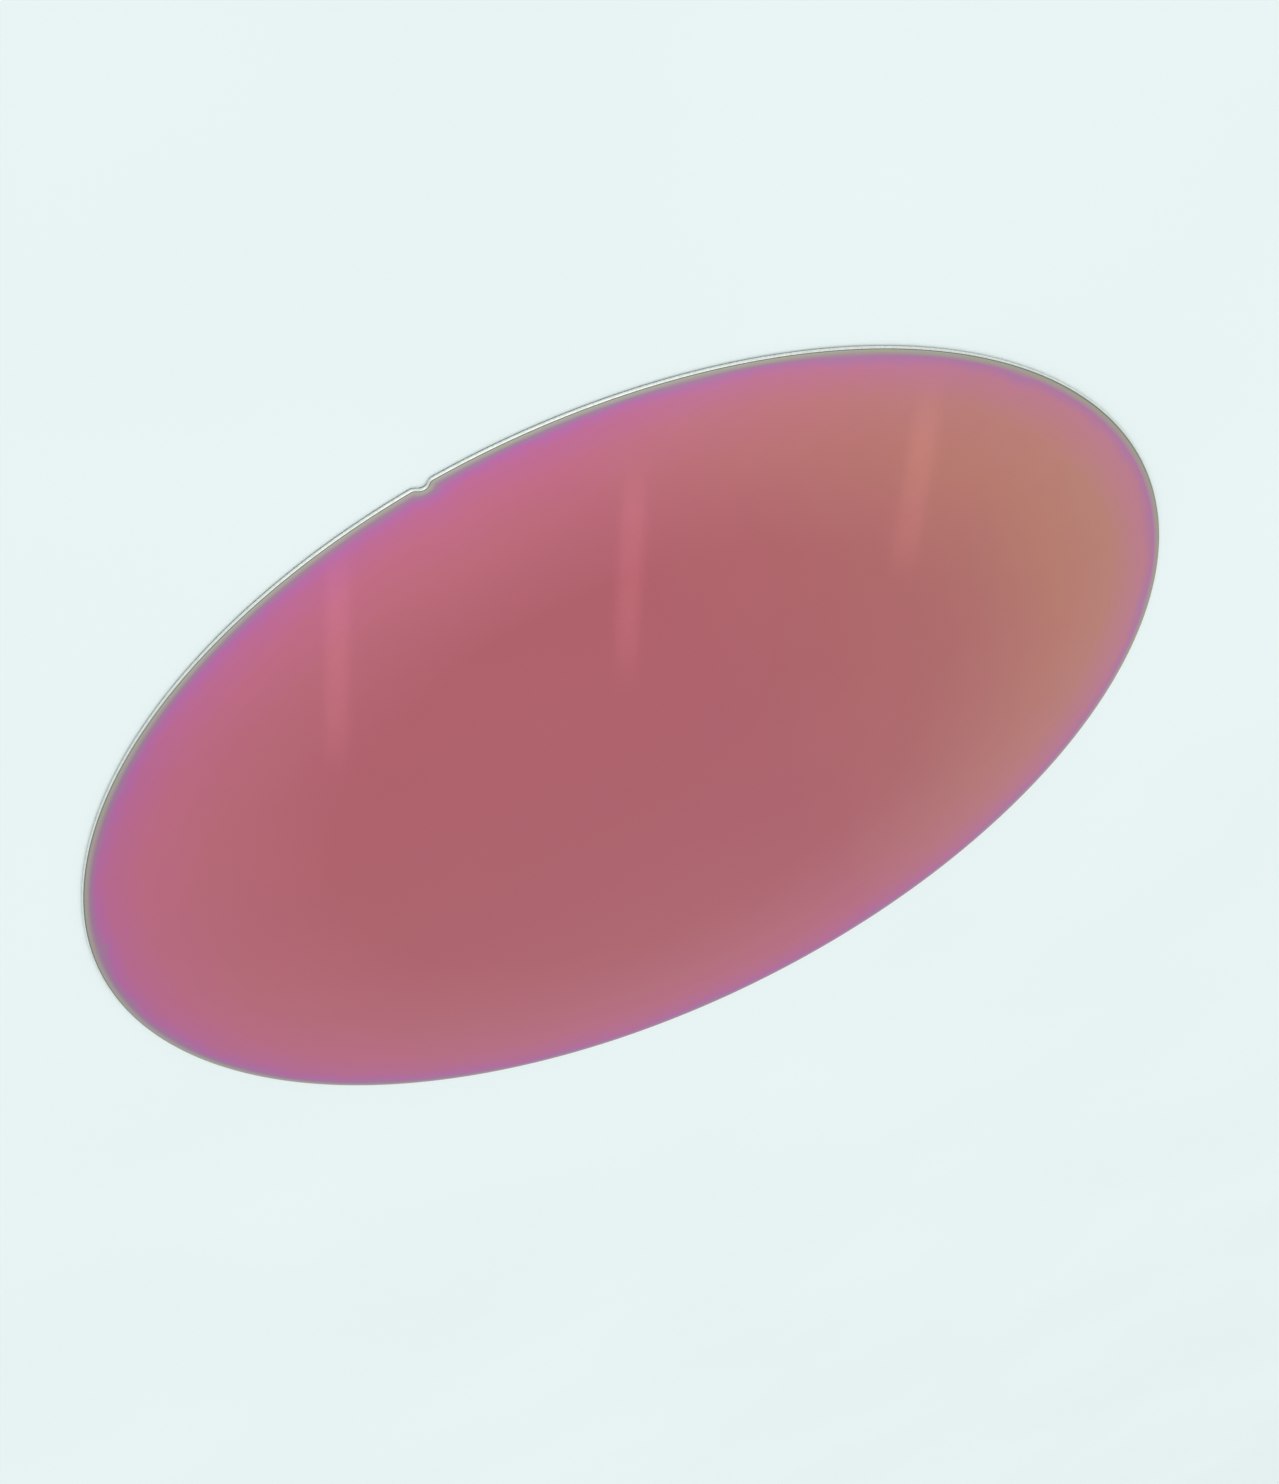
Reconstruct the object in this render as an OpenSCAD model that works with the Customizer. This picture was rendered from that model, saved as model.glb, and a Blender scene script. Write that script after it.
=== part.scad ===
// Round semiconductor wafer: one thin disc with a bevelled, round-nosed rim and one V notch.
// Units are millimetres. The origin is the centre of the back face, +Z is the normal of the
// polished front face, and the notch lies on -Y.

/* [Disc] */
// Diameter over the rounded rim
wafer_d = 200; // [100:1:300]
// Thickness from the back face to the front face
thickness = 0.725; // [0.6:0.005:0.9]

/* [Rim] */
// Angle between each bevel and its face
bevel_angle = 22; // [18:1:26]
// Radial width of each bevel
bevel_run = 0.25; // [0.15:0.01:0.3]

/* [Notch] */
// Depth from the rim's circle to the notch's root
notch_depth = 1; // [0.9:0.05:1.5]
// Angle between the two flanks
notch_angle = 90; // [80:1:100]
// Radius of the root between the flanks
root_r = 1; // [0.8:0.05:1.2]
// Radius of each shoulder, where a flank runs out into the rim
shoulder_r = 1; // [0.7:0.05:1.2]

/* [Hidden] */
$fn = 180;

wafer_r = wafer_d / 2;
mid_z = thickness / 2;
silicon = [0.74, 0.42, 0.51];

// The nose is one arc that fills what the two bevels leave of the thickness.
nose_r = (mid_z - bevel_run * tan(bevel_angle)) / cos(bevel_angle);
// Width of the whole ground rim, from its outermost point to the flat of the faces
rim_w = bevel_run + nose_r * (1 - sin(bevel_angle));
// The bevels end this far inside the nose's arc, so that the two outlines cross cleanly.
nose_overlap = 0.0005;

// The notch is drawn about the centre of its root's arc, where the wafer's centre is at +root_y.
// Its right half is drawn and mirrored. Across a flank, away from the notch, is the direction
// [cos, sin] of flank_angle. Along the flank, towards the rim, is [sin, -cos].
flank_angle = notch_angle / 2;
across = [cos(flank_angle), sin(flank_angle)];
along = [sin(flank_angle), -cos(flank_angle)];
root_y = wafer_r - notch_depth + root_r;

// Each flank is straight over flank_run, from the root's arc to the arc of its shoulder. That
// length is the one for which the shoulder's arc also touches the rim's circle.
shoulder_offset = root_r + shoulder_r;
flank_run = -root_y * cos(flank_angle) + sqrt(pow(wafer_r - shoulder_r, 2)
    - pow(root_y * sin(flank_angle) - shoulder_offset, 2));
flank_middle = root_r * across + flank_run / 2 * along;
shoulder = shoulder_offset * across + flank_run * along;

// The edge around the notch is let into a pocket in the disc, in cells that each hold one arc or
// one straight. Their borders cross the edge where an arc begins or ends, and they reach at
// least inlet past whatever they hold.
inlet = 0.2;
pocket_top = root_r + rim_w + inlet;
pocket_foot = root_r - notch_depth - inlet;
root_centre = [0, 0];
root_corner = [pocket_top / tan(flank_angle), pocket_top];
flank_corner = flank_run * along;
rim_corner = [(root_y - pocket_foot) * shoulder[0] / (root_y - shoulder[1]), pocket_foot];
edge_w = max(norm(root_corner) - root_r, shoulder_r) + inlet;

// Section of the rim: the outermost point is at x = 0, the material at x < 0.
module rim_section(reach) {
    join_r = nose_r - nose_overlap;
    join_x = -nose_r + join_r * sin(bevel_angle);
    join_z = join_r * cos(bevel_angle);
    polygon([
        [-reach, 0],
        [-rim_w, 0],
        [join_x, mid_z - join_z],
        [-nose_r, mid_z],
        [join_x, mid_z + join_z],
        [-rim_w, thickness],
        [-reach, thickness]
    ]);
    translate([-nose_r, mid_z]) circle(nose_r);
}

// Moves its children in two steps, by whole tenths and then by what is left, which places them
// more finely than one step of six figures.
module place(point) {
    tenths = [for (value = point) floor(value * 10) / 10];
    translate([tenths[0], tenths[1], 0])
        translate([point[0] - tenths[0], point[1] - tenths[1], 0])
            children();
}

module upright(outline) {
    translate([0, 0, -inlet]) linear_extrude(thickness + 2 * inlet) polygon(outline);
}

function mirrored(point) = [-point[0], point[1]];

module pocket() {
    upright([
        root_corner,
        shoulder,
        rim_corner,
        mirrored(rim_corner),
        mirrored(shoulder),
        mirrored(root_corner)
    ]);
}

// The root's arc, hollow towards the rim
module root_edge() {
    intersection() {
        rotate_extrude() translate([root_r, 0]) mirror([1, 0]) rim_section(edge_w);
        upright([root_centre, root_corner, mirrored(root_corner)]);
    }
}

// One straight flank
module flank_edge() {
    intersection() {
        place(flank_middle) rotate(flank_angle) rotate([90, 0, 0])
            linear_extrude(flank_run + 2 * inlet, center = true)
                mirror([1, 0]) rim_section(edge_w);
        upright([root_centre, root_corner, shoulder, flank_corner]);
    }
}

// One shoulder's arc, full towards the rim
module shoulder_edge() {
    intersection() {
        place(shoulder) rotate_extrude() translate([shoulder_r, 0]) rim_section(shoulder_r);
        upright([flank_corner, shoulder, rim_corner]);
    }
}

module wafer() {
    color(silicon) union() {
        difference() {
            rotate_extrude() translate([wafer_r, 0]) rim_section(wafer_r);
            place([0, -root_y]) pocket();
        }
        place([0, -root_y]) {
            root_edge();
            for (side = [0, 1]) mirror([side, 0, 0]) {
                flank_edge();
                shoulder_edge();
            }
        }
    }
}

wafer();
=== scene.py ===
import math

import bpy
import numpy as np
from mathutils import Matrix, Vector


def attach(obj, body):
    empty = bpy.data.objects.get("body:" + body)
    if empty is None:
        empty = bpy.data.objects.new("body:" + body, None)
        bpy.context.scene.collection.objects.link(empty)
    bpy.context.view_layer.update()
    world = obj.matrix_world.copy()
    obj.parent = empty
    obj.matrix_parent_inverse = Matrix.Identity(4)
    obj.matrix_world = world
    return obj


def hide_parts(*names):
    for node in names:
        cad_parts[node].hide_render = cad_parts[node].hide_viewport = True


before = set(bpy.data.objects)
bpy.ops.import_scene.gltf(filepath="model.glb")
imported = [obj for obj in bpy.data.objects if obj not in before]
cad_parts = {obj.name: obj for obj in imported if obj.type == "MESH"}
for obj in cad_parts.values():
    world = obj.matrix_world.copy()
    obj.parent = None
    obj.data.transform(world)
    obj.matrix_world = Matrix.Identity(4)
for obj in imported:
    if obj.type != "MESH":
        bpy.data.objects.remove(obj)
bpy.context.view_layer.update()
MM = 0.001

# ---------------------------------------------------------------- the part's own sizes, in mm
# They repeat the driving values of part.scad, which can't be read from here.
WAFER_R = 100.0
THICK = 0.725
BEVEL = math.radians(22)
BEVEL_RUN = 0.25
NOTCH_DEPTH = 1.0
FLANK = math.radians(45)
ROOT_R = 1.0
SHOULDER_R = 1.0

MID = THICK / 2
NOSE_R = (MID - BEVEL_RUN * math.tan(BEVEL)) / math.cos(BEVEL)
NOSE_IN = NOSE_R * (1 - math.sin(BEVEL))
RIM_W = BEVEL_RUN + NOSE_IN
ROOT_Y = WAFER_R - NOTCH_DEPTH + ROOT_R


# ---------------------------------------------------------------- camera
# It looks along the photograph's line of sight to the face, and is rolled as the upright wafer
# is seen there: the notch is upper left and the near rim is at the top.
EYE = Vector((-0.03827, -0.3466, 0.20252))
AIM = Vector((-0.002, -0.010, 0.0))
ROLL = math.radians(154.03)
LENS, SENSOR = 55.5, 36
CLIP_START, CLIP_END = 0.01, 100

forward = (AIM - EYE).normalized()
level_side = forward.cross(Vector((0, 0, 1))).normalized()
level_up = level_side.cross(forward)
side = math.cos(ROLL) * level_side + math.sin(ROLL) * level_up
up = side.cross(forward)
camera_data = bpy.data.cameras.new("camera")
camera_data.sensor_width = SENSOR
camera_data.sensor_fit = "AUTO"
camera_data.lens = LENS
camera_data.clip_start = CLIP_START
camera_data.clip_end = CLIP_END
camera = bpy.data.objects.new("camera", camera_data)
bpy.context.scene.collection.objects.link(camera)
axes = Matrix((side, up, -forward)).transposed().to_4x4()
camera.matrix_world = Matrix.Translation(EYE) @ axes
bpy.context.scene.camera = camera


# ---------------------------------------------------------------- the wafer's mesh
# Steps along the notch's root, each flank, each shoulder and the rim's circle
ROOT_STEPS, FLANK_STEPS, SHOULDER_STEPS, CIRCLE_STEPS = 10, 5, 12, 1430
# Steps across each bevel and over the nose
BEVEL_STEPS, NOSE_STEPS = 4, 14
# Rings on each face, in mm from the end of its bevel. The front's are close together near the
# rim, where the film's colours change fast.
FRONT_RINGS = (0.12, 0.28, 0.5, 0.75, 1.05, 1.4, 1.8, 2.3, 3, 4, 5.5, 7.5, 10.5, 15)
BACK_RINGS = (1.5, 6, 15)
# Rings further in: the share of the face's radius, and one in how many of its points
INNER_RINGS = ((0.72, 2), (0.5, 4), (0.3, 8), (0.15, 16), (0.06, 40))
# Half width and inner end, in mm, of the zone where a point's distance is measured to the
# outline round the notch, and of the wider zone that this outline is taken from
NOTCH_ZONE = (28, -72)
OUTLINE_ZONE = (34, -60)


def arc(centre, radius, start, end, steps, outward):
    """Points and outward normals along an arc. outward is +1 where the material is inside it."""
    rows = []
    for k in range(steps + 1):
        a = start + (end - start) * k / steps
        d = np.array([math.cos(a), math.sin(a)])
        rows.append((np.array(centre) + radius * d, outward * d))
    return rows


def outline():
    """The wafer's edge once round, anticlockwise from the notch, with its outward normals."""
    across = np.array([math.cos(FLANK), math.sin(FLANK)])
    along = np.array([math.sin(FLANK), -math.cos(FLANK)])
    offset = ROOT_R + SHOULDER_R
    run = -ROOT_Y * math.cos(FLANK) + math.sqrt(
        (WAFER_R - SHOULDER_R) ** 2 - (ROOT_Y * math.sin(FLANK) - offset) ** 2)
    root = np.array([0.0, -ROOT_Y])
    shoulder = root + offset * across + run * along
    meet = math.atan2(shoulder[1], shoulder[0])
    right = arc(root, ROOT_R, math.pi / 2, FLANK, ROOT_STEPS, -1)
    for k in range(1, FLANK_STEPS):
        right.append((root + ROOT_R * across + run * k / FLANK_STEPS * along, -across))
    right += arc(shoulder, SHOULDER_R, FLANK + math.pi, meet + 2 * math.pi, SHOULDER_STEPS, 1)
    left = [(p * (-1, 1), m * (-1, 1)) for p, m in reversed(right[1:])]
    rim = arc((0, 0), WAFER_R, meet, math.pi - meet, CIRCLE_STEPS, 1)[1:-1]
    rows = right + rim + left
    return np.array([p for p, m in rows]), np.array([m for p, m in rows])


def rim_profile():
    """(inward distance, height) rows over the edge, from the front face to the back face."""
    rows = [(RIM_W, THICK)]
    nose_top = (NOSE_IN, MID + NOSE_R * math.cos(BEVEL))
    for k in range(1, BEVEL_STEPS):
        t = k / BEVEL_STEPS
        rows.append((RIM_W + (nose_top[0] - RIM_W) * t, THICK + (nose_top[1] - THICK) * t))
    for k in range(NOSE_STEPS + 1):
        a = BEVEL + (math.pi - 2 * BEVEL) * k / NOSE_STEPS
        rows.append((NOSE_R - NOSE_R * math.sin(a), MID + NOSE_R * math.cos(a)))
    rows += [(inward, THICK - z) for inward, z in reversed(rows[:BEVEL_STEPS])]
    return rows


verts = []
faces = []


def add_ring(points, z):
    """Adds a closed ring of vertices at one height, and returns their numbers."""
    first = len(verts)
    verts.extend((x, y, z) for x, y in points)
    return list(range(first, first + len(points)))


def stitch(outer, inner, faces_up):
    """Joins two rings, which may differ in their number of points, with quads or triangles."""
    n, m = len(outer), len(inner)
    i = j = 0
    while i < n or j < m:
        a, b = outer[i % n], inner[j % m]
        if n == m:
            face = (a, outer[(i + 1) % n], inner[(j + 1) % m], b)
            i += 1
            j += 1
        elif j >= m or (i < n and (i + 1) * m <= (j + 1) * n):
            face = (a, outer[(i + 1) % n], b)
            i += 1
        else:
            face = (a, inner[(j + 1) % m], b)
            j += 1
        faces.append(face if faces_up else face[::-1])


def cap(ring, z, faces_up, steps):
    """The flat of one face, from the end of its bevel to the middle."""
    base = np.array([verts[k][:2] for k in ring])
    outer = ring
    for inward in steps:
        inner = add_ring(base * (1 - inward / (WAFER_R - RIM_W)), z)
        stitch(outer, inner, faces_up)
        outer = inner
    for share, every in INNER_RINGS:
        inner = add_ring(base[::every] * share, z)
        stitch(outer, inner, faces_up)
        outer = inner
    middle = len(verts)
    verts.append((0.0, 0.0, z))
    for k in range(len(outer)):
        face = (outer[k], outer[(k + 1) % len(outer)], middle)
        faces.append(face if faces_up else face[::-1])


def in_zone(points, zone):
    half_width, inner_end = zone
    return (np.abs(points[:, 0]) < half_width) & (points[:, 1] < inner_end)


def inward_distance(points):
    """Distance of each point to the wafer's outline, as seen from above."""
    result = WAFER_R - np.hypot(points[:, 0], points[:, 1])
    local = edge_points[in_zone(edge_points, OUTLINE_ZONE)]
    local = local[np.argsort(np.arctan2(local[:, 0], -local[:, 1]))]
    a, b = local[:-1], local[1:]
    ab = b - a
    span = (ab ** 2).sum(1)
    for k in np.nonzero(in_zone(points, NOTCH_ZONE))[0]:
        ap = points[k] - a
        t = np.clip((ap * ab).sum(1) / span, 0, 1)
        result[k] = np.sqrt(((ap - t[:, None] * ab) ** 2).sum(1)).min()
    return result


edge_points, edge_normals = outline()
profile = rim_profile()
rings = [add_ring(edge_points - inward * edge_normals, z) for inward, z in profile]
for upper, lower in zip(rings, rings[1:]):
    stitch(lower, upper, True)
rim_end = len(faces)
cap(rings[0], THICK, True, FRONT_RINGS)
front_end = len(faces)
cap(rings[-1], 0.0, False, BACK_RINGS)

co = np.array(verts)
distance = inward_distance(co[:, :2])
for ring, (inward, z) in zip(rings, profile):
    distance[ring] = inward

mesh = bpy.data.meshes.new("wafer_body")
mesh.from_pydata([tuple(v) for v in co * MM], [], faces)
mesh.validate()
field = mesh.attributes.new("inward", "FLOAT", "POINT")
field.data.foreach_set("value", distance.astype(np.float32))
wafer = bpy.data.objects.new("wafer_body", mesh)
bpy.context.scene.collection.objects.link(wafer)

# Material slots: 0 is the front face, 1 the ground rim and 2 the back face.
slots = np.zeros(len(mesh.polygons), np.int32)
slots[:rim_end] = 1
slots[front_end:] = 2
mesh.polygons.foreach_set("material_index", slots)
mesh.polygons.foreach_set("use_smooth", np.ones(len(mesh.polygons), bool))
bevel_ends = [set(rings[0]), set(rings[-1])]
for edge in mesh.edges:
    a, b = edge.vertices
    if any(a in ring and b in ring for ring in bevel_ends):
        edge.use_edge_sharp = True


# ---------------------------------------------------------------- materials
def srgb(r, g, b):
    """A screen colour, 0 to 255, as the linear colour that the shader takes."""
    out = []
    for v in (r, g, b):
        v = v / 255
        out.append(v / 12.92 if v <= 0.04045 else ((v + 0.055) / 1.055) ** 2.4)
    return (*out, 1.0)


class Graph:
    """A node tree, written as short calls."""

    def __init__(self, tree):
        self.tree = tree

    def node(self, kind, **values):
        made = self.tree.nodes.new(kind)
        for key, value in values.items():
            setattr(made, key, value)
        return made

    def put(self, socket, value):
        """Links a socket to another node's output, or gives it a constant."""
        if isinstance(value, bpy.types.NodeSocket):
            self.tree.links.new(value, socket)
        else:
            socket.default_value = value

    def operate(self, kind, operation, a, b):
        made = self.node(kind, operation=operation)
        self.put(made.inputs[0], a)
        self.put(made.inputs[1], b)
        return made.outputs["Value"]

    def math(self, operation, a, b=0.0):
        return self.operate("ShaderNodeMath", operation, a, b)

    def measure(self, operation, a, b):
        """A vector operation whose result is one number."""
        return self.operate("ShaderNodeVectorMath", operation, a, b)

    def spread(self, value, lo, hi, out_lo, out_hi, smooth=True):
        """out_lo where value is lo, out_hi where it is hi, and held beyond them."""
        kind = "SMOOTHSTEP" if smooth else "LINEAR"
        made = self.node("ShaderNodeMapRange", interpolation_type=kind)
        for socket, v in zip(made.inputs[:5], (value, lo, hi, out_lo, out_hi)):
            self.put(socket, v)
        return made.outputs["Result"]

    def place(self):
        """The position on the object, in metres."""
        return self.node("ShaderNodeTexCoord").outputs["Object"]

    def split(self, vector):
        made = self.node("ShaderNodeSeparateXYZ")
        self.put(made.inputs[0], vector)
        return made.outputs

    def noise(self, scale, detail, rough=0.5):
        made = self.node("ShaderNodeTexNoise")
        made.inputs["Scale"].default_value = scale
        made.inputs["Detail"].default_value = detail
        made.inputs["Roughness"].default_value = rough
        self.put(made.inputs["Vector"], self.place())
        return made.outputs["Fac"]

    def ramp(self, value, stops, reach):
        """Colour against a value. stops holds (value, colour) and none lies beyond reach."""
        made = self.node("ShaderNodeValToRGB")
        band = made.color_ramp
        band.interpolation = "LINEAR"
        while len(band.elements) > 1:
            band.elements.remove(band.elements[-1])
        band.elements[0].position = stops[0][0] / reach
        band.elements[0].color = stops[0][1]
        for where, colour in stops[1:]:
            band.elements.new(where / reach).color = colour
        self.put(made.inputs["Fac"], self.math("DIVIDE", value, reach))
        return made.outputs["Color"]

    def mix(self, factor, a, b, blend="MIX"):
        made = self.node("ShaderNodeMix", data_type="RGBA", blend_type=blend)
        self.put(made.inputs[0], factor)
        self.put(made.inputs[6], a)
        self.put(made.inputs[7], b)
        return made.outputs[2]

    def inward(self):
        """The mesh's own distance to the wafer's outline, in mm."""
        return self.node("ShaderNodeAttribute", attribute_name="inward").outputs["Fac"]


# Noise lies mostly between these values.
NOISE_SPAN = (0.3, 0.7)


class Finish(Graph):
    """A material's nodes."""

    def __init__(self, name):
        self.material = bpy.data.materials.new(name)
        self.material.use_nodes = True
        super().__init__(self.material.node_tree)
        self.shader = self.tree.nodes["Principled BSDF"]

    def set(self, **values):
        """Sets the shader's sockets: base_color is its "Base Color"."""
        for name, value in values.items():
            self.put(self.shader.inputs[name.replace("_", " ").title()], value)


# The film's colours against the distance to the outline, in mm
FILM_REACH = 45.0
ROSE_FILM = (
    (0.0, srgb(176, 171, 168)), (0.65, srgb(180, 170, 168)), (1.3, srgb(172, 132, 168)),
    (2.4, srgb(195, 112, 176)), (4.5, srgb(202, 112, 158)), (10.0, srgb(205, 114, 142)),
    (20.0, srgb(201, 113, 130)), (42.0, srgb(194, 105, 116)))
TAN_FILM = (
    (0.0, srgb(170, 170, 160)), (0.65, srgb(176, 176, 160)), (1.4, srgb(194, 132, 180)),
    (3.2, srgb(210, 138, 158)), (10.0, srgb(207, 145, 128)), (20.0, srgb(205, 141, 117)),
    (44.0, srgb(195, 124, 113)))
# The film is all rose where X is over ROSE_END and all tan where it is under TAN_START, in
# metres. Noise moves the border between them by up to half of BORDER_WANDER either way.
ROSE_END, TAN_START = -0.018, -0.092
BORDER_WANDER = 0.010
# How far slow and quick noise move the bands, in mm from end to end
SLOW_WANDER, QUICK_WANDER = 3.0, 1.6
# The bands are held to the rim up to the first distance in mm, and move freely past the second.
HELD, FREE = 0.8, 2.6
# The bands lie SWELL mm further in up to SWELL_FULL from the notch, in metres, and are back in
# their place past SWELL_NONE.
SWELL_FULL, SWELL_NONE = 0.002, 0.011
SWELL = 0.55
# The green fringe is at its strength up to the first distance in mm, and gone past the second.
FRINGE_FULL, FRINGE_NONE = 0.45, 0.85
FRINGE, FRINGE_PATCHES = 0.75, (0.46, 0.62)
FRINGE_GREEN = srgb(170, 178, 140)
CLOUD, CLOUD_SPAN = 0.10, (0.35, 0.7)
CLOUD_ROSE = srgb(212, 118, 124)
FILM_ROUGHNESS = (0.028, 0.05)

# The rim's colours against the distance to the outline, in mm. The near-white stops over the
# nose, up to 0.15 mm, are a painted highlight, far paler than the grey silicon itself.
RIM_REACH = 0.45
RIM_BANDS_AND_NOSE_HIGHLIGHT = (
    (0.0, srgb(246, 246, 242)), (0.15, srgb(240, 240, 232)), (0.185, srgb(112, 115, 104)),
    (0.265, srgb(108, 111, 100)), (0.32, srgb(168, 165, 158)), (0.43, srgb(180, 175, 170)))
GRAIN, GRAIN_SPAN = 0.22, (0.35, 0.7)
GRAIN_GREY = srgb(128, 128, 124)
RIM_ROUGHNESS = (0.16, 0.28)

BACK_DARK, BACK_LIGHT = srgb(144, 147, 151), srgb(166, 168, 172)
MOTTLE_SPAN = (0.32, 0.68)
BROAD = 0.25
BROAD_GREY = srgb(150, 150, 150)
BACK_ROUGHNESS = (0.36, 0.5)
BUMP_STRENGTH, BUMP_HEIGHT = 0.15, 0.00002


def film_material():
    """Polished silicon under a film: interference bands near the rim, an even rose inside."""
    g = Finish("coated_silicon")
    inward = g.inward()

    # The film thins unevenly towards the rim, so its bands wander and swell round the notch.
    slow = g.math("SUBTRACT", g.noise(scale=70, detail=2), 0.5)
    quick = g.math("SUBTRACT", g.noise(scale=420, detail=3), 0.5)
    wander = g.math("ADD", g.math("MULTIPLY", slow, SLOW_WANDER),
                    g.math("MULTIPLY", quick, QUICK_WANDER))
    to_notch = g.measure("DISTANCE", g.place(), (0, -ROOT_Y * MM, THICK * MM))
    swell = g.spread(to_notch, SWELL_FULL, SWELL_NONE, -SWELL, 0.0)
    shift = g.math("MULTIPLY", g.math("ADD", wander, swell),
                   g.spread(inward, HELD, FREE, 0.0, 1.0))
    depth = g.math("MAXIMUM", g.math("ADD", inward, shift), 0.0)

    rose = g.ramp(depth, ROSE_FILM, FILM_REACH)
    tan = g.ramp(depth, TAN_FILM, FILM_REACH)
    x = g.split(g.place())[0]
    border = g.math("ADD", x, g.math("MULTIPLY", slow, BORDER_WANDER))
    colour = g.mix(g.spread(border, ROSE_END, TAN_START, 0.0, 1.0, smooth=False), rose, tan)

    # Where the film ends, it is thin enough to turn a patchy yellow green.
    patches = g.spread(g.noise(scale=260, detail=2), *FRINGE_PATCHES, 0.0, 1.0)
    fringe = g.math("MULTIPLY", g.spread(depth, FRINGE_FULL, FRINGE_NONE, FRINGE, 0.0), patches)
    colour = g.mix(fringe, colour, FRINGE_GREEN)

    # Faint clouds of film thickness, too slow to read as a pattern
    cloud = g.spread(g.noise(scale=22, detail=2), *CLOUD_SPAN, 0.0, CLOUD)
    colour = g.mix(cloud, colour, CLOUD_ROSE)

    haze = g.noise(scale=900, detail=4, rough=0.6)
    g.set(base_color=colour, metallic=1.0, roughness=g.spread(haze, *NOISE_SPAN, *FILM_ROUGHNESS))
    return g.material


def rim_material():
    """Ground and etched silicon: a near-white painted highlight over the nose, with a darker line
    on each bevel.
    """
    g = Finish("ground_rim_and_painted_highlight")
    grain = g.noise(scale=2600, detail=4, rough=0.6)
    # The near-white colour that this gives the nose is a painted highlight.
    bands = g.ramp(g.inward(), RIM_BANDS_AND_NOSE_HIGHLIGHT, RIM_REACH)
    colour = g.mix(g.spread(grain, *GRAIN_SPAN, 0.0, GRAIN), bands, GRAIN_GREY)
    g.set(base_color=colour, metallic=1.0, roughness=g.spread(grain, *NOISE_SPAN, *RIM_ROUGHNESS))
    return g.material


def back_material():
    """The etched back: satin grey silicon with a fine mottle."""
    g = Finish("etched_back")
    mottle = g.noise(scale=2100, detail=4, rough=0.6)
    broad = g.noise(scale=30, detail=2)
    colour = g.mix(g.spread(mottle, *MOTTLE_SPAN, 0.0, 1.0), BACK_DARK, BACK_LIGHT)
    colour = g.mix(g.spread(broad, *NOISE_SPAN, 0.0, BROAD), colour, BROAD_GREY)
    bump = g.node("ShaderNodeBump")
    bump.inputs["Strength"].default_value = BUMP_STRENGTH
    bump.inputs["Distance"].default_value = BUMP_HEIGHT
    g.put(bump.inputs["Height"], mottle)
    g.set(base_color=colour, metallic=1.0, normal=bump.outputs[0],
          roughness=g.spread(mottle, *NOISE_SPAN, *BACK_ROUGHNESS))
    return g.material


for material in (film_material(), rim_material(), back_material()):
    mesh.materials.append(material)
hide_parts("wafer")
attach(wafer, "root")


# ---------------------------------------------------------------- floor
FLOOR_HALF = 8
# It lies this far under the wafer, so that the two surfaces don't flicker into each other.
FLOOR_DROP = 0.00002
PAPER_DARK, PAPER_LIGHT = srgb(227, 238, 237), srgb(229, 240, 239)
PAPER_ROUGHNESS = 0.9

floor_mesh = bpy.data.meshes.new("floor")
floor_mesh.from_pydata([(-FLOOR_HALF, -FLOOR_HALF, 0), (FLOOR_HALF, -FLOOR_HALF, 0),
                        (FLOOR_HALF, FLOOR_HALF, 0), (-FLOOR_HALF, FLOOR_HALF, 0)],
                       [], [(0, 1, 2, 3)])
floor = bpy.data.objects.new("floor", floor_mesh)
floor.location.z = -FLOOR_DROP
bpy.context.scene.collection.objects.link(floor)
paper = Finish("floor_paper")
tone = paper.spread(paper.noise(scale=9, detail=2), *NOISE_SPAN, 0.0, 1.0)
paper.set(base_color=paper.mix(tone, PAPER_DARK, PAPER_LIGHT), roughness=PAPER_ROUGHNESS)
floor_mesh.materials.append(paper.material)


# ---------------------------------------------------------------- sky and lights
# The sky's colour against the height of the line of sight, from 0 at the horizon to 1 overhead
SKY = (
    (0.0, (0.79, 0.86, 0.865, 1)), (0.22, (0.75, 0.77, 0.78, 1)), (0.40, (0.73, 0.74, 0.75, 1)),
    (0.50, (0.75, 0.75, 0.76, 1)), (0.57, (0.79, 0.79, 0.80, 1)), (0.63, (0.90, 0.91, 0.92, 1)),
    (0.80, (1.02, 1.04, 1.04, 1)), (1.0, (1.08, 1.10, 1.10, 1)))
GLOW = (1.0, 0.98, 0.96, 1)
# Each strip's azimuth from +Y towards +X, elevation and lean in degrees, half its width and
# half its length as sines of angles, and its strength. They stand for three reflections of the
# box that the photograph shows on the face.
STRIPS = (
    (4.2, 34.7, -30, 0.0062, 0.055, 0.14),
    (-4.6, 33.2, -41, 0.0068, 0.050, 0.11),
    (13.4, 35.8, -23, 0.0062, 0.055, 0.11))
# Past these shares of its half width and half length, a strip fades to nothing at its edge.
FADE_WIDE, FADE_LONG = 0.55, 0.35
# The broad light from the camera's side and above: the way to its middle, the cosines of the
# angles from there at which it ends and is full, and its strength
FRONT_WAY = Vector((-0.1, -0.72, 0.68)).normalized()
FRONT_END, FRONT_FULL = 0.55, 0.98
FRONT_STRENGTH = 0.26
KEY_AT = (-0.7, -0.6, 1.4)
KEY_SIZE, KEY_POWER = 0.9, 1.6

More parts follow.
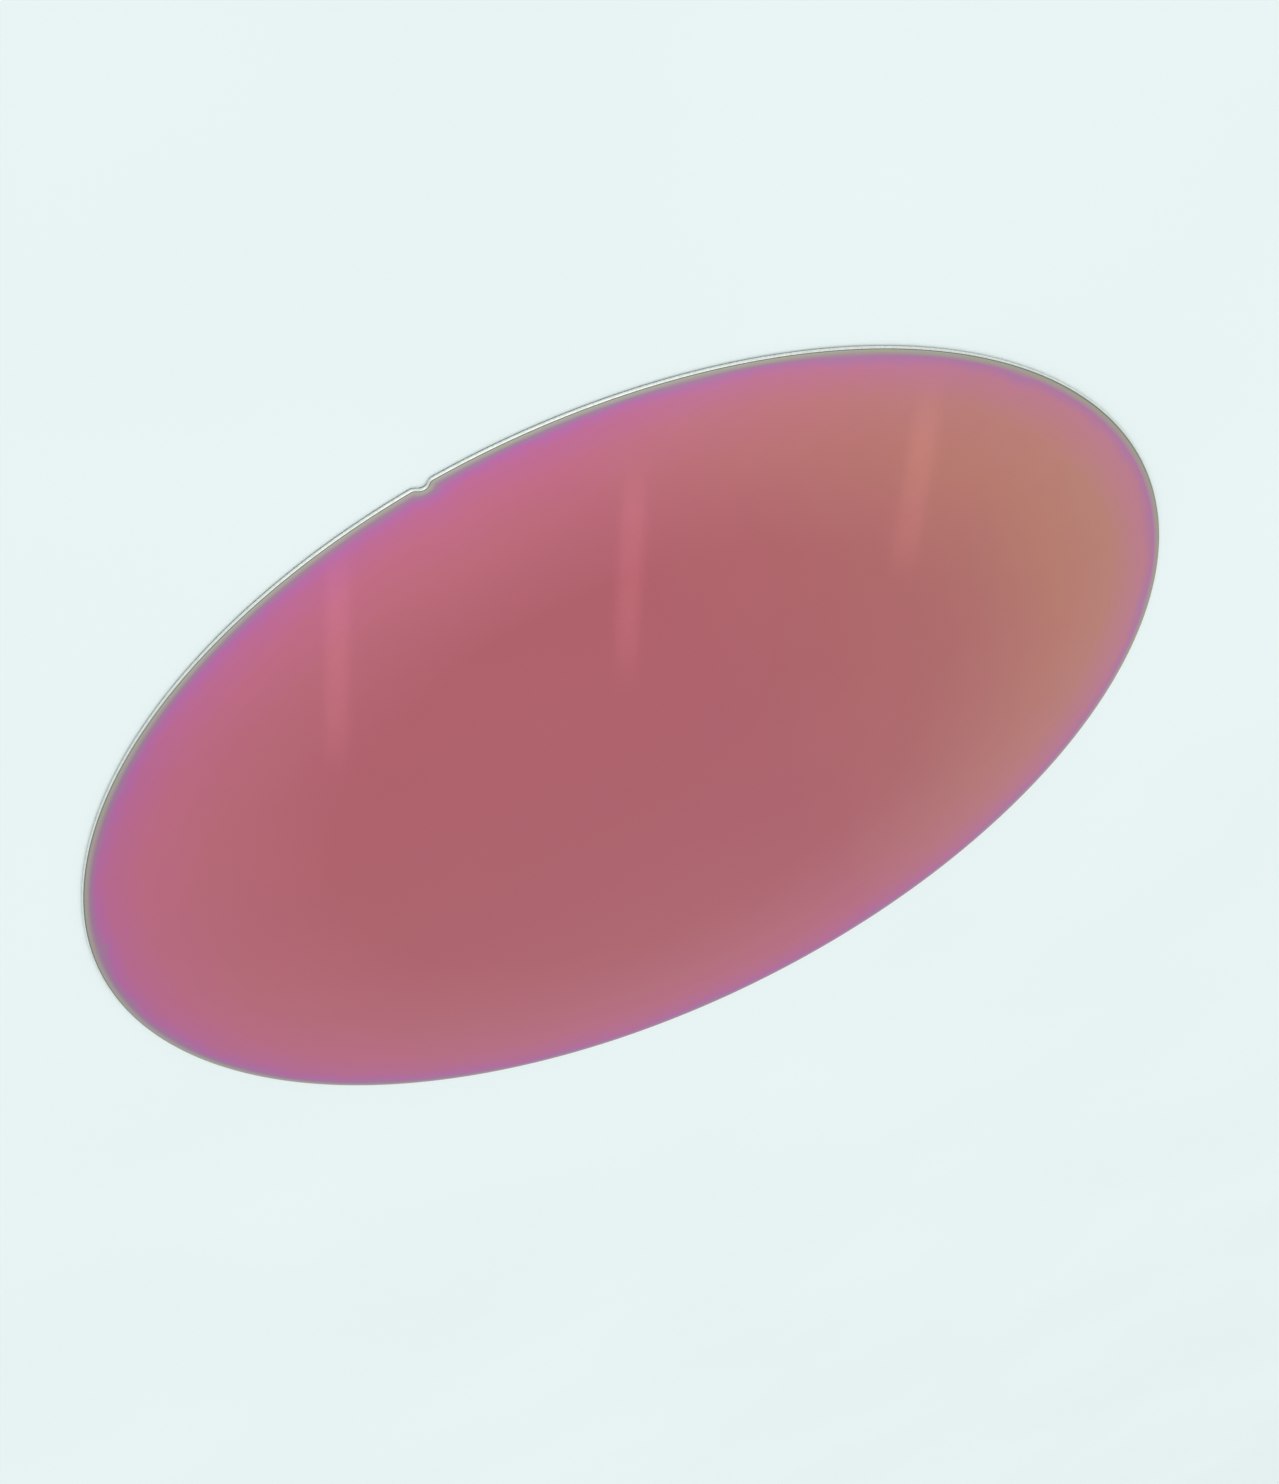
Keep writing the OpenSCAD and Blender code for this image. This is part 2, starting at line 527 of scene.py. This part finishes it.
world = bpy.data.worlds.new("studio")
world.use_nodes = True
bpy.context.scene.world = world
sky = Graph(world.node_tree)
way = sky.node("ShaderNodeTexCoord").outputs["Generated"]


def fade(value, full, none):
    """1 where the size of value is under full, 0 past none."""
    return sky.spread(sky.math("ABSOLUTE", value), full, none, 1.0, 0.0)


def strip_light(azimuth, elevation, lean, half_width, half_length, strength):
    """A dim, soft-ended strip of studio light, which leans as the camera is rolled."""
    az, el, lean = math.radians(azimuth), math.radians(elevation), math.radians(lean)
    towards = Vector((math.sin(az) * math.cos(el), math.cos(az) * math.cos(el), math.sin(el)))
    level = Vector((math.cos(az), -math.sin(az), 0))
    rise = level.cross(towards)
    across = math.cos(lean) * level - math.sin(lean) * rise
    along = math.sin(lean) * level + math.cos(lean) * rise
    front = sky.math("GREATER_THAN", sky.measure("DOT_PRODUCT", way, towards), 0.5)
    wide = fade(sky.measure("DOT_PRODUCT", way, across), half_width * FADE_WIDE, half_width)
    long = fade(sky.measure("DOT_PRODUCT", way, along), half_length * FADE_LONG, half_length)
    return sky.math("MULTIPLY", sky.math("MULTIPLY", front, strength),
                    sky.math("MULTIPLY", wide, long))


def front_light():
    """A broad soft light from the camera's side and above, which the rounded rim catches."""
    return sky.spread(sky.measure("DOT_PRODUCT", way, FRONT_WAY),
                      FRONT_END, FRONT_FULL, 0.0, FRONT_STRENGTH)


glow = front_light()
for strip in STRIPS:
    glow = sky.math("ADD", glow, strip_light(*strip))
background = world.node_tree.nodes["Background"]
background.inputs["Strength"].default_value = 1.0
sky.put(background.inputs["Color"],
        sky.mix(glow, sky.ramp(sky.split(way)[2], SKY, 1.0), GLOW, blend="ADD"))

key_data = bpy.data.lights.new("key", "AREA")
key_data.shape = "DISK"
key_data.size = KEY_SIZE
key_data.energy = KEY_POWER
key = bpy.data.objects.new("key", key_data)
bpy.context.scene.collection.objects.link(key)
key.location = KEY_AT
key.rotation_euler = (-key.location).to_track_quat("-Z", "Y").to_euler()
key.visible_glossy = False

bpy.context.scene.view_settings.view_transform = "Standard"
